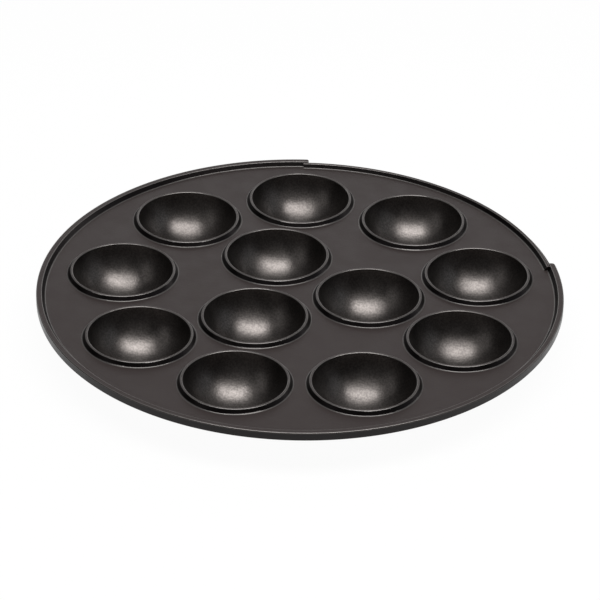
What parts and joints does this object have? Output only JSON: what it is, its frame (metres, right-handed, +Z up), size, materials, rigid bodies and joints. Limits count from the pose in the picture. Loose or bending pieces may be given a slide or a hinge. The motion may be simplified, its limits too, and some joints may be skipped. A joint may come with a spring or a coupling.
{
  "type": "cake pop baking plate",
  "caption": "Round dark-coated cast baking plate with a raised rim and hemispherical cups with raised lips, for baking cake pops; it drops into a countertop maker.",
  "frame": {"origin": "on the plate's axis, at the surface that the plate stands on", "axes": "+Z up, out of the cups; +Y towards the middle of the recess in the rim; +X to the right"},
  "size_m": [0.209, 0.2079, 0.0199],
  "materials": {
    "non_stick_coat": "satin"
  },
  "bodies": {
    "root": {"deck": "non_stick_coat", "rim": "non_stick_coat", "outer_cup_1": "non_stick_coat", "outer_cup_2": "non_stick_coat", "outer_cup_3": "non_stick_coat", "outer_cup_4": "non_stick_coat", "outer_cup_5": "non_stick_coat", "outer_cup_6": "non_stick_coat", "outer_cup_7": "non_stick_coat", "outer_cup_8": "non_stick_coat", "outer_cup_9": "non_stick_coat", "inner_cup_1": "non_stick_coat", "inner_cup_2": "non_stick_coat", "inner_cup_3": "non_stick_coat"}
  },
  "joints": []
}
